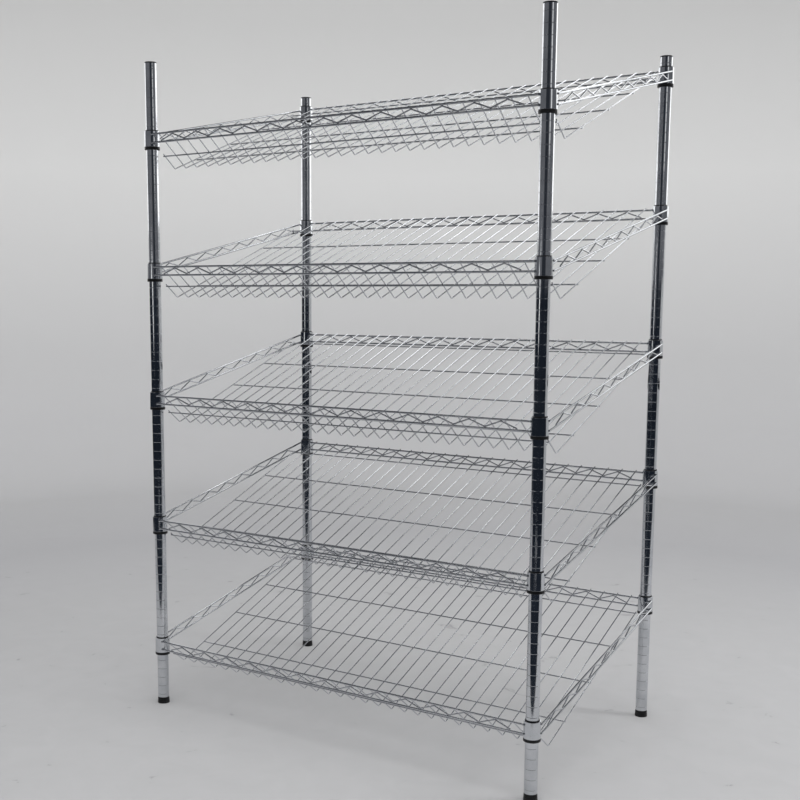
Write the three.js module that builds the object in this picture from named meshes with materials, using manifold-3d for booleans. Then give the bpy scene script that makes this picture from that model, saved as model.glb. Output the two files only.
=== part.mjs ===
// Bread rack: four grooved posts carry five sloping welded wire shelves on tapered split sleeves.
// Millimetres, +Z up, the front faces -Y, the origin is on the floor in the middle of the four posts.
import * as THREE from 'three';
import { mergeVertices } from 'three/addons/utils/BufferGeometryUtils.js';
import Module from 'manifold-3d';

const wasm = await Module();
wasm.setup();

// Driving sizes of the rack
const rackHeight = 1800;
const postSpanX = 1184;
const postSpanY = 697;
const postRadius = 16;
const groovePitch = 25.4;
const shelfCount = 5;
const lowestFrontGroove = 6;
const groovesBetweenShelves = 14;
const groovesOfSlope = 6;
const deckWireCount = 30;

// Clearances: between pieces that meet, and between wires that are welded where they cross
const seatGap = 0.3;
const crossingGap = 0.25;

// Posts: thin tube with a swaged threaded neck at the bottom, plastic cap and levelling foot
const postWall = 1.5;
const footHeight = 18;
const footFlare = 1.2;
const stemRadius = 6;
const stemLength = 40;
const neckLength = 24;
const capFlange = 3;
const plugLength = 22;
const firstGrooveAboveFoot = 10.4;
const grooveDepth = 0.8;
const grooveHalfWidth = 1.6;

// Sleeve in two halves: a rim that shows below the collar, a tapered wall inside it, a bead inside;
// widths are measured out from the post
const rimHeight = 7.2;
const rimWidth = 4.8;
const taperBottomWidth = 2.8;
const taperTopWidth = 1.4;
const sleeveAboveCollar = 2.5;
const beadAboveRing = 27;
const slitWidth = 0.8;

// Collar at each corner of a shelf, with widths measured out from the post
const collarHeight = 42;
const collarBottomWidth = 4.8;
const collarTopWidth = 4.2;

// Wires of a shelf: heights are above the lower edge of the collar they belong to,
// setbacks are measured back from the front posts
const rodRadius = 2.6;
const snakeRadius = 1.9;
const ribRadius = 1.9;
const deckWireRadius = 1.6;
const topRodHeight = 32.5;
const bottomRodHeight = 10;
const frontTrussInset = 1;
const sideTrussOutset = 4.4;
const tipSetback = 89;
const tipDrop = 50;
const firstRibSetback = 182;
const lastRibFromRear = 68;
const deckRibCount = 4;
const lipRibSetback = 46;
const rearOverhang = 5;
const snakeEndMargin = 34;
const ribWeldWires = 2;
const ribWeldDepth = 1.2;

// Round parts share one facet count so that their gaps stay even
const roundFacets = 12;
const rodFacets = 6;
const wireFacets = 4;

// Values that follow from the sizes above
const wirePitch = postSpanX / (deckWireCount - 1);
const slopeRise = groovesOfSlope * groovePitch;
const rimRadius = postRadius + rimWidth;
const taperBottomRadius = postRadius + taperBottomWidth;
const taperTopRadius = postRadius + taperTopWidth;
const collarBottomRadius = postRadius + collarBottomWidth;
const collarTopRadius = postRadius + collarTopWidth;
const frontTrussOffset = postRadius - frontTrussInset;
const sideTrussOffset = postRadius + sideTrussOutset;
const lastRibSetback = postSpanY - lastRibFromRear;
const grooveHeight = (index) => footHeight + firstGrooveAboveFoot + index * groovePitch;
const shelfRing = (level) => grooveHeight(lowestFrontGroove + level * groovesBetweenShelves) - beadAboveRing;
const frontY = -postSpanY / 2;
const rearY = postSpanY / 2;

const corners = [
  { name: 'front_left', x: -postSpanX / 2, y: frontY, rise: 0 },
  { name: 'front_right', x: postSpanX / 2, y: frontY, rise: 0 },
  { name: 'rear_left', x: -postSpanX / 2, y: rearY, rise: slopeRise },
  { name: 'rear_right', x: postSpanX / 2, y: rearY, rise: slopeRise },
];

const chrome = new THREE.MeshStandardMaterial({ color: 0xc9ccd0, metalness: 1, roughness: 0.2 });
chrome.name = 'chrome_plated_steel';
const blackPlastic = new THREE.MeshStandardMaterial({ color: 0x161616, roughness: 0.5 });
blackPlastic.name = 'black_plastic';

const rack = new THREE.Group();
rack.name = 'bread_rack';

function addPiece(name, geometry, material) {
  const mesh = new THREE.Mesh(geometry, material);
  mesh.name = name;
  rack.add(mesh);
}

// A solid for joining and cutting, from any closed geometry
function toSolid(geometry) {
  const bare = geometry.clone();
  bare.deleteAttribute('normal');
  bare.deleteAttribute('uv');
  const welded = mergeVertices(bare, 1e-4);
  return new wasm.Manifold(new wasm.Mesh({
    numProp: 3,
    vertProperties: new Float32Array(welded.attributes.position.array),
    triVerts: new Uint32Array(welded.index.array),
  }));
}

function toGeometry(solid) {
  const mesh = solid.getMesh();
  const geometry = new THREE.BufferGeometry();
  geometry.setAttribute('position', new THREE.BufferAttribute(mesh.vertProperties, 3));
  geometry.setIndex(new THREE.BufferAttribute(mesh.triVerts, 1));
  return geometry;
}

// Turns a closed outline of [radius, height] pairs, counter-clockwise, about the Z axis
function turned(outline) {
  const points = [...outline, outline[0]].map(([radius, height]) => new THREE.Vector2(radius, height));
  return new THREE.LatheGeometry(points, roundFacets).rotateX(Math.PI / 2);
}

// A path through corner points, sampled exactly at each corner
class CornerPath extends THREE.Curve {
  constructor(points) {
    super();
    this.points = points.map((point) => new THREE.Vector3(...point));
  }

  getPointAt(u) {
    const place = u * (this.points.length - 1);
    const index = Math.min(Math.floor(place), this.points.length - 2);
    return this.points[index].clone().lerp(this.points[index + 1], place - index);
  }

  getTangentAt(u) {
    const index = Math.round(u * (this.points.length - 1));
    const tangent = new THREE.Vector3();
    if (index > 0) {
      tangent.add(this.points[index].clone().sub(this.points[index - 1]).normalize());
    }
    if (index < this.points.length - 1) {
      tangent.add(this.points[index + 1].clone().sub(this.points[index]).normalize());
    }
    return tangent.normalize();
  }
}

// Half-thickness of a flat-sided wire with the area of the round one, out to the corners of its section
function reach(radius, facets = wireFacets) {
  const turn = (2 * Math.PI) / facets;
  return radius * Math.sqrt(turn / Math.sin(turn));
}

// A flat-sided wire along corner points
function wire(points, radius, facets = wireFacets) {
  const turn = (2 * Math.PI) / facets;
  const cornerRadius = reach(radius, facets);
  const section = new THREE.Shape();
  for (let index = 0; index < facets; index += 1) {
    const angle = turn * index;
    const move = index === 0 ? 'moveTo' : 'lineTo';
    section[move](cornerRadius * Math.cos(angle), cornerRadius * Math.sin(angle));
  }
  section.closePath();
  const path = new CornerPath(points);
  return toSolid(new THREE.ExtrudeGeometry(section, { steps: points.length - 1, extrudePath: path }));
}

// A zigzag from start to end that rises from the low line to the high line and back
function zigzag(along, start, end, bends, low, high) {
  const points = [];
  for (let index = 0; index <= bends; index += 1) {
    const share = index / bends;
    const place = start + (end - start) * share;
    const height = index % 2 === 0 ? low : high;
    points.push(along(place, height));
  }
  return points;
}

// Two rods with a zigzag wire between them, joined to the lower rod at its ends; bends is even
function truss(along, rodStart, rodEnd, bends) {
  const rod = (height) => wire([along(rodStart, height), along(rodEnd, height)], rodRadius, rodFacets);
  const inset = reach(rodRadius, rodFacets) + reach(snakeRadius) + crossingGap;
  const low = bottomRodHeight + inset;
  const high = topRodHeight - inset;
  const start = rodStart + snakeEndMargin;
  const end = rodEnd - snakeEndMargin;
  const points = zigzag(along, start, end, bends, low, high);
  points[0] = along(start, bottomRodHeight);
  points[bends] = along(end, bottomRodHeight);
  return [rod(bottomRodHeight), rod(topRodHeight), wire(points, snakeRadius)];
}

// One welded shelf with the lower edge of its front collars at height zero
function weldedShelf() {
  const rodEndX = postSpanX / 2 - Math.sqrt(taperBottomRadius ** 2 - (frontTrussOffset - rodRadius) ** 2);
  const rearEndX = postSpanX / 2 - (taperBottomRadius + collarTopRadius) / 2;
  const sideEndY = postSpanY / 2 - rodRadius;
  const frontLine = (place, height) => [place, frontY - frontTrussOffset, height];
  const rearLine = (place, height) => [place, rearY, slopeRise + height];
  const sideLine = (x) => (place, height) => [x, place, height + slopeRise * (place - frontY) / postSpanY];
  const sideX = postSpanX / 2 + sideTrussOffset;
  const evenBends = (length) => 2 * Math.round((length / 2 - snakeEndMargin) / wirePitch);
  const frontBends = evenBends(2 * rodEndX);
  const sideBends = evenBends(2 * sideEndY);
  const pieces = [
    ...truss(frontLine, -rodEndX, rodEndX, frontBends),
    ...truss(rearLine, -rearEndX, rearEndX, frontBends),
    ...truss(sideLine(-sideX), -sideEndY, sideEndY, sideBends),
    ...truss(sideLine(sideX), -sideEndY, sideEndY, sideBends),
  ];

  // Deck wires run from over the rear top rod down to the tip, then up the lip to the front top rod
  const deckY = (setback) => frontY + setback;
  const rearSetback = postSpanY;
  const aboveRod = reach(rodRadius, rodFacets) + reach(deckWireRadius) + crossingGap;
  const rearTop = slopeRise + topRodHeight + aboveRod;
  const deckSlope = (rearTop + tipDrop) / (rearSetback - tipSetback);
  const deckHeight = (setback) => -tipDrop + deckSlope * (setback - tipSetback);
  const lipSlope = (topRodHeight + tipDrop) / (frontTrussOffset + tipSetback);
  const lipHeight = (setback) => -tipDrop + lipSlope * (tipSetback - setback);
  for (let index = 0; index < deckWireCount; index += 1) {
    const x = -postSpanX / 2 + index * wirePitch;
    const outermost = index === 0 || index === deckWireCount - 1;
    const fromEdge = Math.min(index, deckWireCount - 1 - index);
    const sunk = fromEdge < ribWeldWires ? ribWeldDepth : 0;
    const lipEnd = outermost ? lipRibSetback - ribRadius : -frontTrussOffset;
    const rearEnd = outermost ? lastRibSetback + rearOverhang : rearSetback + rearOverhang;
    pieces.push(wire([
      [x, deckY(rearEnd), deckHeight(rearEnd) - sunk],
      [x, deckY(tipSetback), deckHeight(tipSetback) - sunk],
      [x, deckY(lipEnd), lipHeight(lipEnd) - sunk],
    ], deckWireRadius));
  }

  // Ribs under the deck and the lip, joined to the wires next to each side of the shelf
  const ribDistance = reach(deckWireRadius) + reach(ribRadius) + crossingGap;
  const underDeck = ribDistance / Math.cos(Math.atan(deckSlope));
  const underLip = ribDistance / Math.cos(Math.atan(lipSlope));
  const ribEnd = postSpanX / 2 + reach(deckWireRadius);
  const ribPitch = (lastRibSetback - firstRibSetback) / (deckRibCount - 1);
  const ribPoint = (x, setback, height) => [x, deckY(setback), height];
  const rib = (setback, height) => wire(
    [ribPoint(-ribEnd, setback, height), ribPoint(ribEnd, setback, height)],
    ribRadius,
  );
  for (let index = 0; index < deckRibCount; index += 1) {
    const setback = firstRibSetback + index * ribPitch;
    pieces.push(rib(setback, deckHeight(setback) - underDeck));
  }
  pieces.push(rib(lipRibSetback, lipHeight(lipRibSetback) - underLip));

  // Collars, then their conical bores cut through everything that reaches into them
  const bores = [];
  for (const { x, y, rise } of corners) {
    const outline = [[0, 0], [collarBottomRadius, 0], [collarTopRadius, collarHeight], [0, collarHeight]];
    const collar = turned(outline);
    pieces.push(toSolid(collar.translate(x, y, rise)));
    const low = -seatGap;
    const high = collarHeight + seatGap;
    const taper = (taperBottomRadius - taperTopRadius) / (collarHeight + sleeveAboveCollar);
    const boreRadius = (height) => taperBottomRadius + seatGap - taper * height;
    const bore = turned([[0, low], [boreRadius(low), low], [boreRadius(high), high], [0, high]]);
    bores.push(toSolid(bore.translate(x, y, rise)));
  }
  return wasm.Manifold.union(pieces).subtract(wasm.Manifold.union(bores));
}

// Half of a sleeve with the lower edge of its collar at height zero
function sleeveHalf(side) {
  const innerRadius = postRadius + seatGap;
  const top = collarHeight + sleeveAboveCollar;
  const beadLow = beadAboveRing - grooveHalfWidth;
  const beadHigh = beadAboveRing + grooveHalfWidth;
  const outline = [
    [innerRadius, -rimHeight - seatGap],
    [rimRadius, -rimHeight - seatGap],
    [rimRadius, -seatGap],
    [taperBottomRadius, -seatGap],
    [taperTopRadius, top],
    [innerRadius, top],
    [innerRadius, beadHigh],
    [innerRadius - grooveDepth, beadAboveRing],
    [innerRadius, beadLow],
  ];
  const ring = toSolid(turned(outline));
  const depth = 2 * rimRadius;
  const block = new THREE.BoxGeometry(2 * depth, depth, 2 * (top + rimHeight));
  return ring.intersect(toSolid(block.translate(0, (side * (depth + slitWidth)) / 2, 0)));
}

// Posts, caps and feet
for (const { name, x, y, rise } of corners) {
  const bottom = footHeight + seatGap;
  const top = rackHeight - capFlange - seatGap;
  const innerRadius = postRadius - postWall;
  const neckRadius = stemRadius + seatGap;
  const grooves = [];
  for (let level = 0; level < shelfCount; level += 1) {
    const middle = shelfRing(level) + rise + beadAboveRing;
    grooves.push([postRadius, middle - grooveHalfWidth]);
    grooves.push([postRadius - grooveDepth, middle]);
    grooves.push([postRadius, middle + grooveHalfWidth]);
  }
  const tube = turned([
    [neckRadius, bottom],
    [postRadius, bottom],
    ...grooves,
    [postRadius, top],
    [innerRadius, top],
    [innerRadius, bottom + neckLength],
    [neckRadius, bottom + neckLength],
  ]);
  addPiece(`post_${name}`, tube.translate(x, y, 0), chrome);

  const plugRadius = innerRadius - seatGap;
  const cap = turned([
    [0, top - plugLength],
    [plugRadius, top - plugLength],
    [plugRadius, rackHeight - capFlange],
    [postRadius, rackHeight - capFlange],
    [postRadius, rackHeight],
    [0, rackHeight],
  ]);
  addPiece(`post_cap_${name}`, cap.translate(x, y, 0), blackPlastic);

  const foot = turned([
    [0, 0],
    [postRadius + footFlare, 0],
    [postRadius, footHeight],
    [stemRadius, footHeight],
    [stemRadius, footHeight + stemLength],
    [0, footHeight + stemLength],
  ]);
  addPiece(`levelling_foot_${name}`, foot.translate(x, y, 0), blackPlastic);
}

// Five shelves alike, each on four sleeves of two halves
const shelf = weldedShelf();
const halves = { front: sleeveHalf(-1), back: sleeveHalf(1) };
for (let level = 0; level < shelfCount; level += 1) {
  const ring = shelfRing(level);
  addPiece(`shelf_${level + 1}`, toGeometry(shelf.translate([0, 0, ring])), chrome);
  for (const { name, x, y, rise } of corners) {
    for (const [half, solid] of Object.entries(halves)) {
      const seated = solid.translate([x, y, ring + rise]);
      addPiece(`sleeve_${level + 1}_${name}_${half}_half`, toGeometry(seated), blackPlastic);
    }
  }
}

export default rack;
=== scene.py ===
# Bread rack of chrome wire: round wires, grooved posts, plastic sleeves, caps and feet, in a cloth studio
import math

import bmesh
import bpy
import numpy as np
from mathutils import Matrix, Vector


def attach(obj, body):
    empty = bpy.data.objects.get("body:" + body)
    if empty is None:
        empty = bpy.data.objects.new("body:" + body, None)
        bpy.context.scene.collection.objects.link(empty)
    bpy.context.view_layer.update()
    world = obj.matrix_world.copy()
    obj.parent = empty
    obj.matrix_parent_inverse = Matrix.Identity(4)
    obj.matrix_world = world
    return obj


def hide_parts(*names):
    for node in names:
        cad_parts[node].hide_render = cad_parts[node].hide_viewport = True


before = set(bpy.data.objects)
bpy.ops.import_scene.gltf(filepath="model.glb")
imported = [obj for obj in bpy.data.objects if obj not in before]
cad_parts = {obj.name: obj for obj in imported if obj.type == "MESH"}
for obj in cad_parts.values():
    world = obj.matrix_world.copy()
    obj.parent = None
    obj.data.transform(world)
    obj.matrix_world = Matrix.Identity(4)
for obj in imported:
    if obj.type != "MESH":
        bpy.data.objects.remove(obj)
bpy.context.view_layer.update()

# Sizes of the rack in millimetres, as in the solid model; the grooves and beads are finer here, and the
# deck wires stand out less behind the rear rod
RACK_HEIGHT = 1800.0
POST_SPAN_X = 1184.0
POST_SPAN_Y = 697.0
POST_RADIUS = 16.0
POST_WALL = 1.5
GROOVE_PITCH = 25.4
GROOVE_DEPTH = 0.22
GROOVE_HALF_WIDTH = 0.75
BEAD_DEPTH = 0.5
FIRST_GROOVE = 28.4
SHELF_COUNT = 5
LOWEST_FRONT_GROOVE = 6
GROOVES_BETWEEN_SHELVES = 14
GROOVES_OF_SLOPE = 6
BEAD_ABOVE_RING = 27.0
SEAT_GAP = 0.3
FOOT_HEIGHT = 18.0
FOOT_FLARE = 1.2
STEM_RADIUS = 6.0
STEM_LENGTH = 40.0
NECK_LENGTH = 24.0
CAP_FLANGE = 3.0
PLUG_LENGTH = 22.0
RIM_HEIGHT = 7.2
RIM_RADIUS = 20.8
TAPER_BOTTOM_RADIUS = 18.8
TAPER_TOP_RADIUS = 17.4
SLEEVE_ABOVE_COLLAR = 2.5
SLIT_WIDTH = 0.8
COLLAR_HEIGHT = 42.0
COLLAR_BOTTOM_RADIUS = 20.8
COLLAR_TOP_RADIUS = 20.2
ROD_RADIUS = 2.6
SNAKE_RADIUS = 1.9
RIB_RADIUS = 1.9
DECK_WIRE_RADIUS = 1.6
DECK_WIRE_COUNT = 30
TOP_ROD_HEIGHT = 32.5
BOTTOM_ROD_HEIGHT = 10.0
FRONT_TRUSS_OFFSET = 15.0
SIDE_TRUSS_OFFSET = 20.4
TIP_SETBACK = 89.0
TIP_DROP = 50.0
FIRST_RIB_SETBACK = 182.0
LAST_RIB_SETBACK = 629.0
DECK_RIB_COUNT = 4
LIP_RIB_SETBACK = 46.0
REAR_OVERHANG = 1.5
SNAKE_END_MARGIN = 34.0

# Bend of folded wires at their middle line, and the easing of moulded and cut edges
SNAKE_BEND = 7.0
TIP_BEND = 6.0
EDGE_ROUND = 0.6

# How far crossing wires are pressed into each other by the weld, and a rear rod into its collar's wall
WELD_SINK = 0.35
ROD_END_SINK = 1.0

# Weld lumps at the collars: in front of the front rods, and back along the rear rods
WELD_RADIUS = 3.2
WELD_OUTSET = 1.6
WELD_STAND_OFF = 4.0

# Shallow ring round each foot
FOOT_RING_HEIGHT = 11.2
FOOT_RING_DEPTH = 0.8

# Fineness of the surfaces: points round a wire, steps round a bend, and steps round a turned shape
WIRE_SIDES = 10
ROD_SIDES = 12
SNAKE_BEND_STEPS = 5
TIP_BEND_STEPS = 8
TURN_STEPS = 48
POST_STEPS = 40
SLEEVE_HALF_STEPS = 24
BALL_STEPS = 12
BALL_ROWS = 9
GROOVE_ROWS = 7

# Faces that meet at more than this many degrees keep a sharp edge between them
SHARP_ANGLE = 40.0
POST_SHARP_ANGLE = 60.0

# Scene units are metres; points closer than the merge distance are one point
MILLIMETRE = 0.001
POLE_MERGE = 1e-6

# Beside a bend, as a share of it, one more row of points keeps the flat wall straight in the reflections
WALL_GUARD = 0.4

WIRE_PITCH = POST_SPAN_X / (DECK_WIRE_COUNT - 1)
SLOPE_RISE = GROOVES_OF_SLOPE * GROOVE_PITCH
FRONT_Y = -POST_SPAN_Y / 2
REAR_Y = POST_SPAN_Y / 2
CORNERS = {
    "front_left": (-POST_SPAN_X / 2, FRONT_Y, 0.0),
    "front_right": (POST_SPAN_X / 2, FRONT_Y, 0.0),
    "rear_left": (-POST_SPAN_X / 2, REAR_Y, SLOPE_RISE),
    "rear_right": (POST_SPAN_X / 2, REAR_Y, SLOPE_RISE),
}


def shelf_ring(level):
    """Height of the lower edge of a shelf's front collars, from the groove that its sleeves sit in."""
    groove = LOWEST_FRONT_GROOVE + level * GROOVES_BETWEEN_SHELVES
    return FIRST_GROOVE + groove * GROOVE_PITCH - BEAD_ABOVE_RING


# Surfaces: a shape is (points, quads, end faces), in millimetres


def tube_quads(rings, sides, closed_path=False):
    """Quads between neighbouring rings of a grid whose rings are closed round the wire."""
    ring_count = rings if closed_path else rings - 1
    i, j = np.meshgrid(np.arange(ring_count), np.arange(sides), indexing="ij")
    i_next, j_next = (i + 1) % rings, (j + 1) % sides
    corners = [i * sides + j, i * sides + j_next, i_next * sides + j_next, i_next * sides + j]
    return np.stack(corners, axis=-1).reshape(-1, 4)


def round_wire(path, plane_normal, radius, sides=WIRE_SIDES):
    """A circle of the wire's radius, carried square to a path in the plane with the given normal."""
    path = np.asarray(path, float)
    steps = np.diff(path, axis=0)
    steps /= np.linalg.norm(steps, axis=1, keepdims=True)
    tangent = np.vstack([steps[:1], steps[:-1] + steps[1:], steps[-1:]])
    tangent /= np.linalg.norm(tangent, axis=1, keepdims=True)
    across = np.asarray(plane_normal, float)
    normal = np.cross(across, tangent)
    angle = np.linspace(0.0, 2 * np.pi, sides, endpoint=False)
    circle = np.cos(angle)[None, :, None] * normal[:, None, :] + np.sin(angle)[None, :, None] * across
    points = (path[:, None, :] + radius * circle).reshape(-1, 3)
    last = (len(path) - 1) * sides
    ends = [list(range(sides))[::-1], list(range(last, last + sides))]
    return points, tube_quads(len(path), sides), ends


def bent(corners, bend, steps):
    """A path through corners, each inner one replaced by an arc of the bend radius between its legs."""
    corners = [np.asarray(c, float) for c in corners]
    path = [corners[0]]
    for before, corner, after in zip(corners, corners[1:], corners[2:]):
        leg_in = (before - corner) / np.linalg.norm(before - corner)
        leg_out = (after - corner) / np.linalg.norm(after - corner)
        half = math.acos(float(np.clip(leg_in @ leg_out, -1, 1))) / 2
        bisector = (leg_in + leg_out) / np.linalg.norm(leg_in + leg_out)
        centre = corner + bisector * bend / math.sin(half)
        start = corner + leg_in * bend / math.tan(half) - centre
        finish = corner + leg_out * bend / math.tan(half) - centre
        turn = math.pi - 2 * half
        share = np.linspace(0.0, 1.0, steps)[:, None]
        arc = (np.sin((1 - share) * turn) * start + np.sin(share * turn) * finish) / math.sin(turn)
        path.extend(centre + arc)
    path.append(corners[-1])
    return np.array(path)


def turned(outline, centre, segments=TURN_STEPS, start=0.0, sweep=2 * math.pi):
    """A closed outline of (radius, height), counter-clockwise, carried round an upright axis at centre."""
    outline = np.asarray(outline, float)
    whole = math.isclose(sweep, 2 * math.pi)
    angle = start + np.linspace(0.0, sweep, segments if whole else segments + 1, endpoint=not whole)
    x = outline[None, :, 0] * np.cos(angle)[:, None]
    y = outline[None, :, 0] * np.sin(angle)[:, None]
    z = np.broadcast_to(outline[None, :, 1], x.shape)
    points = np.stack([x, y, z], axis=-1).reshape(-1, 3) + np.asarray(centre, float)
    sides = len(outline)
    quads = tube_quads(len(angle), sides, closed_path=whole)[:, ::-1]
    last = (len(angle) - 1) * sides
    ends = [] if whole else [list(range(sides)), list(range(last, last + sides))[::-1]]
    return points, quads, ends


def rounded_outline(outline, radius, steps=4):
    """A closed outline, every corner off the axis eased by a short curve, within a third of its legs."""
    corners = np.asarray(outline, float)
    path = []
    for before, corner, after in zip(np.roll(corners, 1, axis=0), corners, np.roll(corners, -1, axis=0)):
        if corner[0] <= 0:
            path.append(corner)
            continue
        leg_in, leg_out = np.linalg.norm(before - corner), np.linalg.norm(after - corner)
        trim = min(radius, leg_in / 3, leg_out / 3)
        into, out_of = (before - corner) * trim / leg_in, (after - corner) * trim / leg_out
        first, last = corner + into, corner + out_of
        share = np.linspace(0.0, 1.0, steps)[:, None]
        path.append(first + into * WALL_GUARD)
        path.extend((1 - share) ** 2 * first + 2 * share * (1 - share) * corner + share**2 * last)
        path.append(last + out_of * WALL_GUARD)
    return np.array(path)


def joined(shapes):
    """Several shapes as one: points stacked, faces counted on from the points before them."""
    points, quads, ends, count = [], [], [], 0
    for shape_points, shape_quads, shape_ends in shapes:
        points.append(shape_points)
        quads.append(shape_quads + count)
        ends.extend([[i + count for i in end] for end in shape_ends])
        count += len(shape_points)
    return np.vstack(points), np.vstack(quads), ends


def moved(shape, offset):
    """The shape shifted by an offset."""
    points, quads, ends = shape
    return points + np.asarray(offset, float), quads, ends


def close_poles(mesh):
    """Merges the points that a turned shape has on its axis, and drops the edge left along the axis."""
    work = bmesh.new()
    work.from_mesh(mesh)
    bmesh.ops.remove_doubles(work, verts=work.verts, dist=POLE_MERGE)
    bare = [edge for edge in work.edges if not edge.link_faces]
    bmesh.ops.delete(work, geom=bare, context="EDGES")
    work.to_mesh(mesh)
    work.free()


def make_piece(name, shape, material, body, nodes=(), sharp_angle=SHARP_ANGLE):
    """Puts a shape into a mesh in metres; it rides on the body and stands for the nodes."""
    points, quads, ends = shape
    mesh = bpy.data.meshes.new(name)
    mesh.from_pydata((points * MILLIMETRE).tolist(), [], quads.tolist() + ends)
    close_poles(mesh)
    mesh.validate()
    mesh.polygons.foreach_set("use_smooth", np.ones(len(mesh.polygons), bool))
    mesh.set_sharp_from_angle(angle=math.radians(sharp_angle))
    mesh.materials.append(material)
    piece = bpy.data.objects.new(name, mesh)
    bpy.context.scene.collection.objects.link(piece)
    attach(piece, body)
    if nodes:
        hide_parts(*nodes)
    return piece


# Materials


def linear(hex_colour):
    """An sRGB hex colour as linear red, green, blue and alpha."""
    channels = [int(hex_colour[i : i + 2], 16) / 255 for i in (1, 3, 5)]
    return [c / 12.92 if c <= 0.04045 else ((c + 0.055) / 1.055) ** 2.4 for c in channels] + [1.0]


def add_node(tree, kind, settings=(), inputs=(), links=()):
    """Adds a node, sets its properties and input values, and links inputs from (node, output) pairs."""
    node = tree.nodes.new(kind)
    for name, value in dict(settings).items():
        setattr(node, name, value)
    for name, value in dict(inputs).items():
        node.inputs[name].default_value = value
    for name, (source, output) in dict(links).items():
        tree.links.new(source.outputs[output], node.inputs[name])
    return node


def new_material(name, slot):
    """An empty node material, for one slot of the record."""
    material = bpy.data.materials.new(name)
    material.use_nodes = True
    material.node_tree.nodes.clear()
    material["slot"] = slot
    return material, material.node_tree


def set_ramp(ramp, stops):
    """Gives a colour ramp its stops: (place, hex colour) pairs in rising order."""
    elements = ramp.color_ramp.elements
    while len(elements) < len(stops):
        elements.new(1.0)
    for element, (place, hex_colour) in zip(elements, stops):
        element.position = place
        element.color = linear(hex_colour)


def per_metre(millimetres):
    """Pattern scale for Object coordinates, which are in metres, from the size of one repeat."""
    return 1000.0 / millimetres


def chrome_plate(name, haze_mm, grain_mm, grain_depth_mm):
    """Bright chrome plating on drawn steel: mirror-like, with faint haze from handling and a fine ripple."""
    material, tree = new_material(name, "chrome_plated_steel")
    place = add_node(tree, "ShaderNodeTexCoord")
    haze = add_node(
        tree,
        "ShaderNodeTexNoise",
        inputs={"Scale": per_metre(haze_mm), "Detail": 5.0, "Roughness": 0.6},
        links={"Vector": (place, "Object")},
    )
    colour = add_node(tree, "ShaderNodeValToRGB", links={"Fac": (haze, "Fac")})
    set_ramp(colour, [(0.3, "#BFC2C6"), (0.7, "#DADCDF")])
    dulling = add_node(
        tree,
        "ShaderNodeMapRange",
        inputs={"From Min": 0.35, "From Max": 0.75, "To Min": 0.07, "To Max": 0.17},
        links={"Value": (haze, "Fac")},
    )
    grain = add_node(
        tree,
        "ShaderNodeTexNoise",
        inputs={"Scale": per_metre(grain_mm), "Detail": 2.0},
        links={"Vector": (place, "Object")},
    )
    bump = add_node(
        tree,
        "ShaderNodeBump",
        inputs={"Strength": 0.35, "Distance": grain_depth_mm * MILLIMETRE},
        links={"Height": (grain, "Fac")},
    )
    shader = add_node(
        tree,
        "ShaderNodeBsdfPrincipled",
        inputs={"Metallic": 1.0},
        links={
            "Base Color": (colour, "Color"),
            "Roughness": (dulling, "Result"),
            "Normal": (bump, "Normal"),
        },
    )
    add_node(tree, "ShaderNodeOutputMaterial", links={"Surface": (shader, "BSDF")})
    return material


def moulded_plastic(name):
    """Black moulded polypropylene: dark, half matt, with a fine grain from the mould and dusty patches."""
    material, tree = new_material(name, "black_plastic")
    place = add_node(tree, "ShaderNodeTexCoord")
    dust = add_node(
        tree,
        "ShaderNodeTexNoise",
        inputs={"Scale": per_metre(14.0), "Detail": 4.0},
        links={"Vector": (place, "Object")},
    )
    colour = add_node(tree, "ShaderNodeValToRGB", links={"Fac": (dust, "Fac")})
    set_ramp(colour, [(0.35, "#0C0C0D"), (0.75, "#18181A")])
    dulling = add_node(
        tree,
        "ShaderNodeMapRange",
        inputs={"From Min": 0.3, "From Max": 0.7, "To Min": 0.36, "To Max": 0.52},
        links={"Value": (dust, "Fac")},
    )
    grain = add_node(
        tree,
        "ShaderNodeTexNoise",
        inputs={"Scale": per_metre(0.8), "Detail": 1.0},
        links={"Vector": (place, "Object")},
    )
    bump = add_node(
        tree,
        "ShaderNodeBump",
        inputs={"Strength": 0.4, "Distance": 0.08 * MILLIMETRE},
        links={"Height": (grain, "Fac")},
    )
    shader = add_node(
        tree,
        "ShaderNodeBsdfPrincipled",
        inputs={"IOR": 1.49, "Specular IOR Level": 0.35},
        links={
            "Base Color": (colour, "Color"),
            "Roughness": (dulling, "Result"),
            "Normal": (bump, "Normal"),
        },
    )
    add_node(tree, "ShaderNodeOutputMaterial", links={"Surface": (shader, "BSDF")})
    return material


chrome_wire = chrome_plate("chrome_plated_wire", haze_mm=90.0, grain_mm=6.0, grain_depth_mm=0.05)
chrome_tube = chrome_plate("chrome_plated_tube", haze_mm=60.0, grain_mm=18.0, grain_depth_mm=0.12)
black_plastic = moulded_plastic("black_moulded_polypropylene")

# Shelves


def straight(start, finish, normal, radius):
    """A straight round wire between two points."""
    return round_wire([start, finish], normal, radius, ROD_SIDES)


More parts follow.
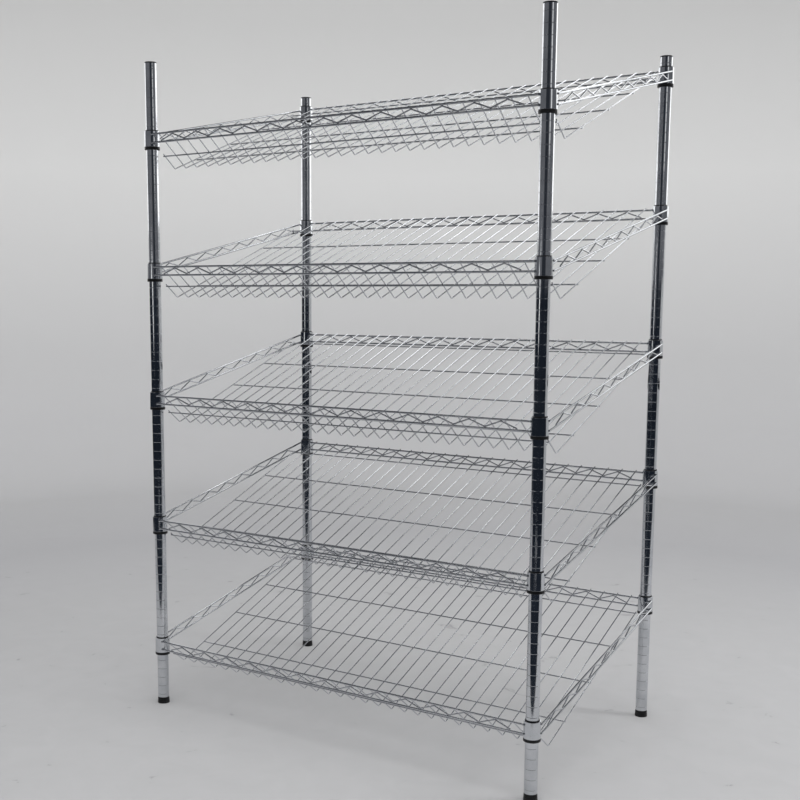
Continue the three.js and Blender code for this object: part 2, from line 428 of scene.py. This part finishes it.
def truss(along, start, finish, normal):
    """Two rods and a zigzag wire between them with round bends, pressed into the rods at every bend."""
    rods = [
        straight(along(start, height), along(finish, height), normal, ROD_RADIUS)
        for height in (BOTTOM_ROD_HEIGHT, TOP_ROD_HEIGHT)
    ]
    first, last = start + SNAKE_END_MARGIN, finish - SNAKE_END_MARGIN
    bends = 2 * round((last - first) / 2 / WIRE_PITCH)
    pitch = (last - first) / bends
    inset = ROD_RADIUS + SNAKE_RADIUS - WELD_SINK
    leg = math.hypot(pitch, TOP_ROD_HEIGHT - BOTTOM_ROD_HEIGHT - 2 * inset)
    # The corner lies beyond the arc's crown, by the bend's own depth
    beyond = SNAKE_BEND * (leg / pitch - 1)
    heights = [BOTTOM_ROD_HEIGHT + inset - beyond, TOP_ROD_HEIGHT - inset + beyond]
    corners = [along(first + pitch * i, heights[i % 2]) for i in range(bends + 1)]
    return rods + [round_wire(bent(corners, SNAKE_BEND, SNAKE_BEND_STEPS), normal, SNAKE_RADIUS)]


def rise_at(y):
    """Height gained by a shelf's side rods at depth y, over their height at the front posts."""
    return SLOPE_RISE * (y - FRONT_Y) / POST_SPAN_Y


def deck_height(setback):
    """Height of a deck wire's axis over the front ring, on the slope from the tip to the rear rod."""
    rear = SLOPE_RISE + TOP_ROD_HEIGHT + ROD_RADIUS + DECK_WIRE_RADIUS - WELD_SINK
    return -TIP_DROP + (rear + TIP_DROP) * (setback - TIP_SETBACK) / (POST_SPAN_Y - TIP_SETBACK)


def lip_height(setback):
    """Height of a deck wire's axis over the front ring, on the lip from the tip up to the front top rod."""
    climb = TOP_ROD_HEIGHT + TIP_DROP
    return -TIP_DROP + climb * (TIP_SETBACK - setback) / (FRONT_TRUSS_OFFSET + TIP_SETBACK)


def deck_wire(index):
    """One deck wire: down the slope, round the tip and up the lip; the outer two stop at the last ribs."""
    x = -POST_SPAN_X / 2 + index * WIRE_PITCH
    outermost = index in (0, DECK_WIRE_COUNT - 1)
    lip_end = LIP_RIB_SETBACK - RIB_RADIUS if outermost else -FRONT_TRUSS_OFFSET
    rear_end = (LAST_RIB_SETBACK if outermost else POST_SPAN_Y) + REAR_OVERHANG
    corners = [
        (x, FRONT_Y + rear_end, deck_height(rear_end)),
        (x, FRONT_Y + TIP_SETBACK, -TIP_DROP),
        (x, FRONT_Y + lip_end, lip_height(lip_end)),
    ]
    return round_wire(bent(corners, TIP_BEND, TIP_BEND_STEPS), (1, 0, 0), DECK_WIRE_RADIUS)


def rib(setback, height):
    """A straight wire across the shelf, as long as the deck is wide."""
    end = POST_SPAN_X / 2 + DECK_WIRE_RADIUS
    y = FRONT_Y + setback
    return straight((-end, y, height), (end, y, height), (0, 0, 1), RIB_RADIUS)


def ribs():
    """The ribs under the deck and under the lip, touching the wires square to their slope."""
    drop = RIB_RADIUS + DECK_WIRE_RADIUS - WELD_SINK
    deck_angle = math.atan(deck_height(TIP_SETBACK + 1) + TIP_DROP)
    lip_angle = math.atan(lip_height(TIP_SETBACK - 1) + TIP_DROP)
    setbacks = np.linspace(FIRST_RIB_SETBACK, LAST_RIB_SETBACK, DECK_RIB_COUNT)
    shapes = [rib(s, deck_height(s) - drop / math.cos(deck_angle)) for s in setbacks]
    return shapes + [rib(LIP_RIB_SETBACK, lip_height(LIP_RIB_SETBACK) - drop / math.cos(lip_angle))]


def collar(centre):
    """A chrome collar with a tapered bore and eased edges."""
    taper = (TAPER_BOTTOM_RADIUS - TAPER_TOP_RADIUS) / (COLLAR_HEIGHT + SLEEVE_ABOVE_COLLAR)
    bore_bottom = TAPER_BOTTOM_RADIUS + SEAT_GAP
    outline = [
        (bore_bottom, 0.0),
        (COLLAR_BOTTOM_RADIUS, 0.0),
        (COLLAR_TOP_RADIUS, COLLAR_HEIGHT),
        (bore_bottom - taper * COLLAR_HEIGHT, COLLAR_HEIGHT),
    ]
    return turned(rounded_outline(outline, EDGE_ROUND), centre)


def ball(centre, radius):
    """A ball, as a half circle turned about its axis."""
    angle = np.linspace(-np.pi / 2, np.pi / 2, BALL_ROWS)
    outline = np.stack([radius * np.cos(angle), radius * np.sin(angle)], axis=-1)
    return turned(outline, centre, BALL_STEPS)


def clear_of_bore(rod_offset):
    """How far from a post's axis a rod stops, so that its inner edge stays out of the collar's bore."""
    bore = TAPER_BOTTOM_RADIUS + SEAT_GAP
    return math.sqrt(bore**2 - (rod_offset - ROD_RADIUS) ** 2)


def welds(front_end, rear_end, side_end, side_x):
    """Weld lumps where the front and rear rods meet the collars, and the rounded ends of the side rods."""
    shapes = []
    for height in (BOTTOM_ROD_HEIGHT, TOP_ROD_HEIGHT):
        for side in (-1, 1):
            front_weld = (side * front_end, FRONT_Y - FRONT_TRUSS_OFFSET - WELD_OUTSET, height)
            rear_weld = (side * (rear_end - WELD_STAND_OFF), REAR_Y, SLOPE_RISE + height)
            shapes += [ball(front_weld, WELD_RADIUS), ball(rear_weld, WELD_RADIUS)]
            for y in (-side_end, side_end):
                shapes.append(ball((side * side_x, y, height + rise_at(y)), ROD_RADIUS))
    return shapes


def wirework():
    """All wires of one shelf, with the lower edge of its front collars at height zero."""
    front_end = POST_SPAN_X / 2 - clear_of_bore(FRONT_TRUSS_OFFSET)
    rear_end = POST_SPAN_X / 2 - COLLAR_TOP_RADIUS + ROD_END_SINK
    side_end = POST_SPAN_Y / 2 - clear_of_bore(SIDE_TRUSS_OFFSET)
    side_x = POST_SPAN_X / 2 + SIDE_TRUSS_OFFSET
    shapes = truss(lambda p, h: (p, FRONT_Y - FRONT_TRUSS_OFFSET, h), -front_end, front_end, (0, 1, 0))
    shapes += truss(lambda p, h: (p, REAR_Y, SLOPE_RISE + h), -rear_end, rear_end, (0, 1, 0))
    for x in (-side_x, side_x):
        shapes += truss(lambda p, h, x=x: (x, p, h + rise_at(p)), -side_end, side_end, (1, 0, 0))
    shapes += [deck_wire(index) for index in range(DECK_WIRE_COUNT)]
    return joined(shapes + ribs() + welds(front_end, rear_end, side_end, side_x))


shelf_wires = wirework()
shelf_collars = joined([collar(centre) for centre in CORNERS.values()])
for level in range(SHELF_COUNT):
    shelf = f"shelf_{level + 1}"
    lift = (0.0, 0.0, shelf_ring(level))
    make_piece(f"{shelf}_wirework", moved(shelf_wires, lift), chrome_wire, f"{shelf}_body", [shelf])
    make_piece(f"{shelf}_collars", moved(shelf_collars, lift), chrome_tube, f"{shelf}_body")

# Posts, caps, feet and sleeves


def post(x, y):
    """A tube with a round-bottomed groove every pitch: across its width the radius dips by depth * cos^2."""
    bottom, top = FOOT_HEIGHT + SEAT_GAP, RACK_HEIGHT - CAP_FLANGE - SEAT_GAP
    groove_count = int((top - FIRST_GROOVE) / GROOVE_PITCH) + 1
    middles = FIRST_GROOVE + GROOVE_PITCH * np.arange(groove_count)
    share = np.r_[-1.0 - WALL_GUARD, np.linspace(-1.0, 1.0, GROOVE_ROWS), 1.0 + WALL_GUARD]
    heights = (middles[:, None] + GROOVE_HALF_WIDTH * share[None, :]).ravel()
    dips = np.tile(GROOVE_DEPTH * np.cos(np.clip(share, -1.0, 1.0) * np.pi / 2) ** 2, groove_count)
    grooves = list(zip(POST_RADIUS - dips, heights))
    inner, neck = POST_RADIUS - POST_WALL, STEM_RADIUS + SEAT_GAP
    outline = [(neck, bottom), (POST_RADIUS, bottom)] + grooves
    neck_top = bottom + NECK_LENGTH
    outline += [(POST_RADIUS, top), (inner, top), (inner, neck_top), (neck, neck_top)]
    return turned(outline, (x, y, 0.0), POST_STEPS)


def cap(x, y):
    """A plug in the tube with a thin flange on top, its edges eased."""
    plug_bottom = RACK_HEIGHT - CAP_FLANGE - SEAT_GAP - PLUG_LENGTH
    plug = POST_RADIUS - POST_WALL - SEAT_GAP
    flange = RACK_HEIGHT - CAP_FLANGE
    outline = [
        (0.0, plug_bottom),
        (plug, plug_bottom),
        (plug, flange),
        (POST_RADIUS, flange),
        (POST_RADIUS, RACK_HEIGHT),
        (0.0, RACK_HEIGHT),
    ]
    return turned(rounded_outline(outline, EDGE_ROUND), (x, y, 0.0))


def foot(x, y):
    """A flared pad with a shallow ring groove, on a stem that screws into the post."""
    edge = POST_RADIUS + FOOT_FLARE * (1 - FOOT_RING_HEIGHT / FOOT_HEIGHT)
    outline = [
        (0.0, 0.0),
        (POST_RADIUS + FOOT_FLARE, 0.0),
        (edge, FOOT_RING_HEIGHT - FOOT_RING_DEPTH),
        (edge - FOOT_RING_DEPTH, FOOT_RING_HEIGHT),
        (edge, FOOT_RING_HEIGHT + FOOT_RING_DEPTH),
        (POST_RADIUS, FOOT_HEIGHT),
        (STEM_RADIUS, FOOT_HEIGHT),
        (STEM_RADIUS, FOOT_HEIGHT + STEM_LENGTH),
        (0.0, FOOT_HEIGHT + STEM_LENGTH),
    ]
    return turned(rounded_outline(outline, EDGE_ROUND), (x, y, 0.0))


def sleeve_half(centre, side):
    """Half of a split sleeve: rim below the collar, tapered wall inside it, bead in the post's groove."""
    inner, top = POST_RADIUS + SEAT_GAP, COLLAR_HEIGHT + SLEEVE_ABOVE_COLLAR
    outline = [
        (inner, -RIM_HEIGHT - SEAT_GAP),
        (RIM_RADIUS, -RIM_HEIGHT - SEAT_GAP),
        (RIM_RADIUS, -SEAT_GAP),
        (TAPER_BOTTOM_RADIUS, -SEAT_GAP),
        (TAPER_TOP_RADIUS, top),
        (inner, top),
        (inner, BEAD_ABOVE_RING + GROOVE_HALF_WIDTH),
        (inner - BEAD_DEPTH, BEAD_ABOVE_RING),
        (inner, BEAD_ABOVE_RING - GROOVE_HALF_WIDTH),
    ]
    slit = math.asin(SLIT_WIDTH / 2 / POST_RADIUS)
    start = slit if side > 0 else math.pi + slit
    edge = rounded_outline(outline, EDGE_ROUND, steps=3)
    return turned(edge, centre, SLEEVE_HALF_STEPS, start, math.pi - 2 * slit)


ROOT_BODY = "frame_of_posts"
for corner, (x, y, rise) in CORNERS.items():
    post_node, cap_node, foot_node = f"post_{corner}", f"post_cap_{corner}", f"levelling_foot_{corner}"
    make_piece(f"grooved_{post_node}", post(x, y), chrome_tube, ROOT_BODY, [post_node], POST_SHARP_ANGLE)
    make_piece(f"cap_{corner}", cap(x, y), black_plastic, ROOT_BODY, [cap_node])
    make_piece(f"foot_{corner}", foot(x, y), black_plastic, f"foot_{corner}_body", [foot_node])
    for level in range(SHELF_COUNT):
        centre = (x, y, rise + shelf_ring(level))
        for half, side in (("front", -1), ("back", 1)):
            name = f"sleeve_{level + 1}_{corner}_{half}"
            make_piece(name, sleeve_half(centre, side), black_plastic, ROOT_BODY, [f"{name}_half"])

# Studio in metres: a round sweep of pale cloth with a tiny eye at its middle, soft lamps, and cards that
# only the chrome sees
CLOTH_RADIUS = 4.7
CLOTH_HEIGHT = 5.0
CLOTH_BEND = 0.8
CLOTH_EYE = 0.001
CREASE_DEPTH = 0.05
CARD_RADIUS = 3.5
CARD_ABOVE_FLOOR = 0.002

# Fineness of the studio: rows up the bend of the cloth, steps round it, and steps along a curved card
CLOTH_BEND_ROWS = 12
CLOTH_STEPS = 64
CARD_STEPS = 24

# Painted shade and light on the cloth, at shares of a length measured from under the rack over the floor and
# up the wall
TONE_LENGTH = 8.0
CLOTH_PAINTED_SHADE_TONES = [
    (0.0, "#B0B0B1"),
    (0.2, "#AFAFB0"),
    (0.33, "#B2B2B4"),
    (0.48, "#C6C6C7"),
    (0.62, "#CECECF"),
    (0.72, "#DBDBDB"),
    (0.83, "#E9E9E8"),
    (0.95, "#DBDBDA"),
]


def pale_cloth():
    """Grey-white cotton backdrop cloth, matt, with creases and scuffs; its grey underfoot and paler wall are
    painted shade and light.
    """
    material, tree = new_material("pale_backdrop_cloth", "none")
    place = add_node(tree, "ShaderNodeTexCoord")
    flat = add_node(
        tree,
        "ShaderNodeVectorMath",
        settings={"operation": "MULTIPLY"},
        inputs={1: (1.0, 1.0, 0.0)},
        links={0: (place, "Object")},
    )
    across = add_node(tree, "ShaderNodeVectorMath", settings={"operation": "LENGTH"}, links={0: (flat, 0)})
    axes = add_node(tree, "ShaderNodeSeparateXYZ", links={"Vector": (place, "Object")})
    along = add_node(tree, "ShaderNodeMath", links={0: (across, "Value"), 1: (axes, "Z")})
    share = add_node(
        tree,
        "ShaderNodeMapRange",
        inputs={"From Max": TONE_LENGTH},
        links={"Value": (along, 0)},
    )
    # Painted shade and light: grey under the rack, paler up the wall, a little darker again near the top
    painted_shade_tone = add_node(tree, "ShaderNodeValToRGB", links={"Fac": (share, "Result")})
    set_ramp(painted_shade_tone, CLOTH_PAINTED_SHADE_TONES)
    scuff = add_node(
        tree,
        "ShaderNodeTexNoise",
        inputs={"Scale": per_metre(90.0), "Detail": 4.0, "Distortion": 0.7},
        links={"Vector": (place, "Object")},
    )
    dirt = add_node(tree, "ShaderNodeValToRGB", links={"Fac": (scuff, "Fac")})
    set_ramp(dirt, [(0.25, "#D4D4D5"), (0.31, "#FBFBFB"), (0.7, "#FFFFFF")])
    trodden = add_node(
        tree,
        "ShaderNodeMapRange",
        inputs={"From Min": 1.2, "From Max": 3.0, "To Min": 1.0, "To Max": 0.0},
        links={"Value": (along, 0)},
    )
    colour = add_node(
        tree,
        "ShaderNodeMix",
        settings={"data_type": "RGBA", "blend_type": "MULTIPLY"},
        links={0: (trodden, "Result"), 6: (painted_shade_tone, "Color"), 7: (dirt, "Color")},
    )
    crease = add_node(
        tree,
        "ShaderNodeTexNoise",
        inputs={"Scale": per_metre(700.0), "Detail": 3.0, "Distortion": 0.6},
        links={"Vector": (place, "Object")},
    )
    bump = add_node(
        tree,
        "ShaderNodeBump",
        inputs={"Strength": 0.25, "Distance": CREASE_DEPTH},
        links={"Height": (crease, "Fac")},
    )
    shader = add_node(
        tree,
        "ShaderNodeBsdfPrincipled",
        inputs={"Roughness": 0.95, "Specular IOR Level": 0.1},
        links={"Base Color": (colour, 2), "Normal": (bump, "Normal")},
    )
    add_node(tree, "ShaderNodeOutputMaterial", links={"Surface": (shader, "BSDF")})
    return material


def stage_surface(name, points, material, closed=False):
    """A grid of points, rows by columns, as one smooth surface that isn't part of the rack."""
    rows, columns = points.shape[:2]
    i, j = np.meshgrid(np.arange(rows if closed else rows - 1), np.arange(columns - 1), indexing="ij")
    k = (i + 1) % rows
    quads = np.stack([i * columns + j, k * columns + j, k * columns + j + 1, i * columns + j + 1], axis=-1)
    mesh = bpy.data.meshes.new(name)
    mesh.from_pydata(points.reshape(-1, 3).tolist(), [], quads.reshape(-1, 4).tolist())
    mesh.polygons.foreach_set("use_smooth", np.ones(len(mesh.polygons), bool))
    mesh.materials.append(material)
    surface = bpy.data.objects.new(name, mesh)
    bpy.context.scene.collection.objects.link(surface)
    return surface


def backdrop():
    """A round studio: floor, quarter-circle bend and wall as one profile, turned about the rack's middle."""
    angle = np.linspace(0.0, np.pi / 2, CLOTH_BEND_ROWS)
    reach = np.r_[CLOTH_EYE, CLOTH_RADIUS - CLOTH_BEND + CLOTH_BEND * np.sin(angle), CLOTH_RADIUS]
    level = np.r_[0.0, CLOTH_BEND - CLOTH_BEND * np.cos(angle), CLOTH_HEIGHT]
    turn = np.linspace(0.0, 2 * np.pi, CLOTH_STEPS, endpoint=False)
    x = reach[None, :] * np.cos(turn)[:, None]
    y = reach[None, :] * np.sin(turn)[:, None]
    z = np.broadcast_to(level[None, :], x.shape)
    stage_surface("backdrop_sweep", np.stack([x, y, z], axis=-1), pale_cloth(), closed=True)


def studio_card(name, points, hex_colour, glow=1.0):
    """A card that shows only in the chrome: a dark flag, or a light where its colour and glow are high."""
    material, tree = new_material(name, "none")
    shader = add_node(tree, "ShaderNodeEmission", inputs={"Color": linear(hex_colour), "Strength": glow})
    add_node(tree, "ShaderNodeOutputMaterial", links={"Surface": (shader, "Emission")})
    card = stage_surface(name, points, material)
    card.visible_camera = False
    card.visible_diffuse = False
    card.visible_shadow = False


def standing_card(name, bearings, heights, hex_colour, glow=1.0, radius=CARD_RADIUS):
    """A card on a circle about the rack's middle, between two bearings in degrees from +X towards +Y."""
    turn = np.radians(np.linspace(*bearings, CARD_STEPS))[:, None]
    level = np.array(heights)[None, :]
    x, y, z = np.broadcast_arrays(radius * np.cos(turn), radius * np.sin(turn), level)
    studio_card(name, np.stack([x, y, z], axis=-1), hex_colour, glow)


def lying_card(name, x_range, y_range, height, hex_colour, glow=1.0):
    """A flat card at a height, between two values of x and of y."""
    x, y, z = np.broadcast_arrays(np.array(x_range)[None, :], np.array(y_range)[:, None], height)
    studio_card(name, np.stack([x, y, z], axis=-1), hex_colour, glow)


def soft_lamp(name, place, target, width, height, watts):
    """A white rectangular soft lamp at place, facing target; the chrome doesn't show it."""
    lamp = bpy.data.lights.new(name, "AREA")
    lamp.shape = "RECTANGLE"
    lamp.size, lamp.size_y = width, height
    lamp.energy = watts
    holder = bpy.data.objects.new(name, lamp)
    holder.location = place
    holder.rotation_euler = (Vector(target) - Vector(place)).to_track_quat("-Z", "Y").to_euler()
    holder.visible_glossy = False
    bpy.context.scene.collection.objects.link(holder)


# Camera fitted to the photograph: focal length and principal point in its pixels, place in millimetres
IMAGE_SIZE = 800.0
FOCAL_PIXELS = 1186.14
PRINCIPAL_POINT = (354.45, 467.38)
CAMERA_PLACE = (1765.4, -2770.8, 1175.9)
CAMERA_YAW = 0.6068
CAMERA_PITCH = 0.1436
CAMERA_ROLL = 0.0029
SENSOR_WIDTH = 36.0

camera_data = bpy.data.cameras.new("camera")
camera_data.sensor_width = SENSOR_WIDTH
camera_data.lens = FOCAL_PIXELS * SENSOR_WIDTH / IMAGE_SIZE
camera_data.shift_x = (IMAGE_SIZE / 2 - PRINCIPAL_POINT[0]) / IMAGE_SIZE
camera_data.shift_y = (PRINCIPAL_POINT[1] - IMAGE_SIZE / 2) / IMAGE_SIZE
camera_data.dof.use_dof = False
camera = bpy.data.objects.new("camera", camera_data)
aim = Matrix.Rotation(CAMERA_YAW, 4, "Z") @ Matrix.Rotation(math.pi / 2 - CAMERA_PITCH, 4, "X")
roll = Matrix.Rotation(CAMERA_ROLL, 4, "Z")
camera.matrix_world = Matrix.Translation(Vector(CAMERA_PLACE) * MILLIMETRE) @ aim @ roll
bpy.context.scene.collection.objects.link(camera)
bpy.context.scene.camera = camera

backdrop()
soft_lamp("ceiling_softbox", (0.3, -0.4, 4.2), (0.0, 0.0, 0.0), 3.6, 3.6, 170.0)
soft_lamp("front_softbox", (1.6, -3.4, 2.6), (0.0, 0.0, 0.9), 1.6, 1.6, 34.0)
soft_lamp("side_window", (3.0, 1.3, 2.3), (0.0, 0.0, 0.4), 0.8, 1.0, 34.0)
soft_lamp("backdrop_lamp", (-1.0, 1.6, 4.3), (-2.9, 4.0, 0.4), 3.0, 0.6, 20.0)

# What the chrome sees of the room: dark to breast height, dim above, with windows and small lamps
standing_card("dark_lower_room", (-195.0, 12.0), (0.0, 1.25), "#1F242C")
standing_card("dim_upper_room", (-165.0, 40.0), (1.25, 4.5), "#6E6F73")
standing_card("dark_doorway", (-78.0, -40.0), (1.25, 3.2), "#32353B", radius=3.45)
standing_card("low_lamp", (-113.0, -102.0), (0.95, 1.4), "#FFFFFF", 1.3, radius=3.4)
standing_card("high_lamp", (-28.0, -17.0), (1.8, 2.5), "#FFFFFF", radius=3.4)
standing_card("left_window", (-215.0, -165.0), (1.5, 3.2), "#FFFFFF", 1.5)
standing_card("right_window", (51.0, 110.0), (1.6, 3.2), "#FFFFFF", 2.0)

# Overhead: a dark ceiling, and a light panel behind the rack that whitens the rear of the decks; the flag
# keeps the panel out of sight of the lowest deck
lying_card("dark_ceiling", (-5.0, 5.0), (-5.0, 5.0), 4.6, "#2A2C30")
lying_card("ceiling_panel", (-1.2, 1.1), (1.13, 1.47), 2.7, "#FFFFFF", 3.0)
lying_card("panel_flag", (-1.2, 1.1), (0.4, 0.8), 0.92, "#2A2C30")

# Dark floor that begins at the front edge of the cloth
cloth_edge = [[-3.2, -2.57, CARD_ABOVE_FLOOR], [3.4, 0.16, CARD_ABOVE_FLOOR]]
far_edge = [[-1.5, -4.2, CARD_ABOVE_FLOOR], [4.6, -1.6, CARD_ABOVE_FLOOR]]
studio_card("dark_floor", np.stack([cloth_edge, far_edge], axis=1), "#252A32")

world = bpy.data.worlds.new("dim_room")
world.use_nodes = True
world.node_tree.nodes["Background"].inputs["Color"].default_value = linear("#5C5D61")
world.node_tree.nodes["Background"].inputs["Strength"].default_value = 1.0
bpy.context.scene.world = world
bpy.context.scene.view_settings.view_transform = "Standard"
